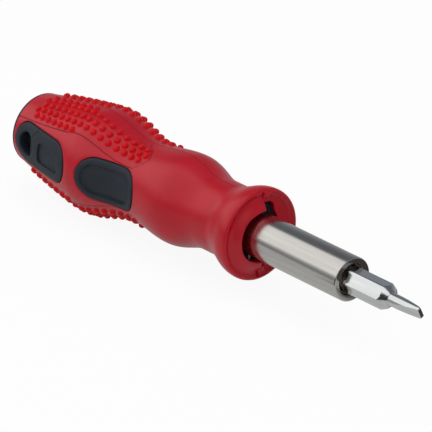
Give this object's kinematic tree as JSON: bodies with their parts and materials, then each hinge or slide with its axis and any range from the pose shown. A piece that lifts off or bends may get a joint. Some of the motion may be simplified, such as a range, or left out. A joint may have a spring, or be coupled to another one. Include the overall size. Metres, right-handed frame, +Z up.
{
  "type": "pocket screwdriver with reversible shaft and double-ended bits",
  "caption": "Pocket screwdriver: nubbed rubber grip on a hard core with a lanyard eye, a round shaft that pulls out and turns end for end, and hex bits held in its sockets.",
  "frame": {"origin": "centre of the lanyard hole, on the long axis of the tool", "axes": "+X runs forward along the shaft to the blade, +Y is the axis of the lanyard hole and points away from the side seen in the picture, +Z is up and the XZ plane is the handle's parting plane"},
  "size_m": [0.1502, 0.029, 0.0296],
  "materials": {
    "core_plastic": "fine grained",
    "grip_rubber": "soft satin",
    "tube_steel": "satin nickel",
    "socket_metal": "dull",
    "bit_steel": "bright",
    "spring_steel": "plain"
  },
  "bodies": {
    "handle": {"handle_core": "core_plastic", "soft_grip": "grip_rubber", "snap_ring": "spring_steel"},
    "shaft": {"shaft_tube": "tube_steel", "front_socket": "socket_metal", "rear_socket": "socket_metal", "drive_pin": "spring_steel"},
    "front_bit": {"front_bit": "bit_steel", "front_bit_ring": "spring_steel"},
    "rear_bit": {"rear_bit": "bit_steel", "rear_bit_ring": "spring_steel"}
  },
  "joints": [
    {"name": "shaft_slide", "type": "slide", "parent": "handle", "child": "shaft", "axis": [1, 0, 0], "range_m": [0, 0.075]},
    {"name": "front_bit_slide", "type": "slide", "parent": "shaft", "child": "front_bit", "axis": [1, 0, 0], "range_m": [0, 0.031]},
    {"name": "rear_bit_slide", "type": "slide", "parent": "shaft", "child": "rear_bit", "axis": [-1, 0, 0], "range_m": [0, 0.0022]}
  ]
}
